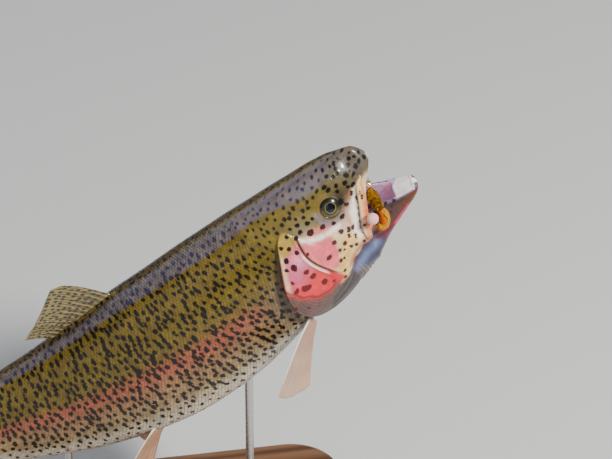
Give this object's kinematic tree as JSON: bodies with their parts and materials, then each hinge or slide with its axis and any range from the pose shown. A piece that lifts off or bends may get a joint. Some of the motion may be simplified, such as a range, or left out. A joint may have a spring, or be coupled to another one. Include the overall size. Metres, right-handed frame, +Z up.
{
  "type": "rainbow trout",
  "caption": "Life-size still model of a rainbow trout rising with its mouth open and a small artificial fly in its jaw, held by two steel rods on a flat wooden base.",
  "frame": {"origin": "on the floor, under the middle of the whole model's box", "axes": "+Z up, +X the way the fish faces, +Y its left side"},
  "size_m": [0.4523, 0.15, 0.3249],
  "materials": {
    "skin": "wet scaled skin, olive gold with dark spots, grey band along the back, silver belly",
    "jaw": "wet cream and brown skin with small dark spots",
    "mouth_lining": "wet mauve pink lining, white at the jaw tip",
    "gill_cover": "wet smooth skin, pink to red with large dark spots",
    "fin": "thin rayed fin, olive to orange-brown, dorsal and tail fins spotted",
    "eye": "clear domed eye with a gold-ringed olive iris and a dark pupil",
    "fly_metal": "polished bead and wire",
    "fly_dressing": "fuzzy gold-olive and orange-yellow dressing",
    "stand_wood": "satin oiled dark wood",
    "stand_metal": "brushed round rod"
  },
  "bodies": {
    "root": {"head": "skin", "lower_jaw": "jaw", "tongue": "mouth_lining", "trunk": "skin", "tail_stalk": "skin", "dorsal_fin": "fin", "adipose_fin": "fin", "anal_fin": "fin", "caudal_fin": "fin", "eye_left": "eye", "eye_right": "eye", "maxilla_left": "jaw", "maxilla_right": "jaw", "gill_cover_left": "gill_cover", "gill_cover_right": "gill_cover", "pectoral_fin_left": "fin", "pectoral_fin_right": "fin", "pelvic_fin_left": "fin", "pelvic_fin_right": "fin", "fly_bead": "fly_metal", "fly_body": "fly_dressing", "fly_tail": "fly_dressing", "fly_egg": "fly_dressing", "stand_base": "stand_wood", "stand_rod_front": "stand_metal", "stand_rod_rear": "stand_metal"}
  },
  "joints": []
}
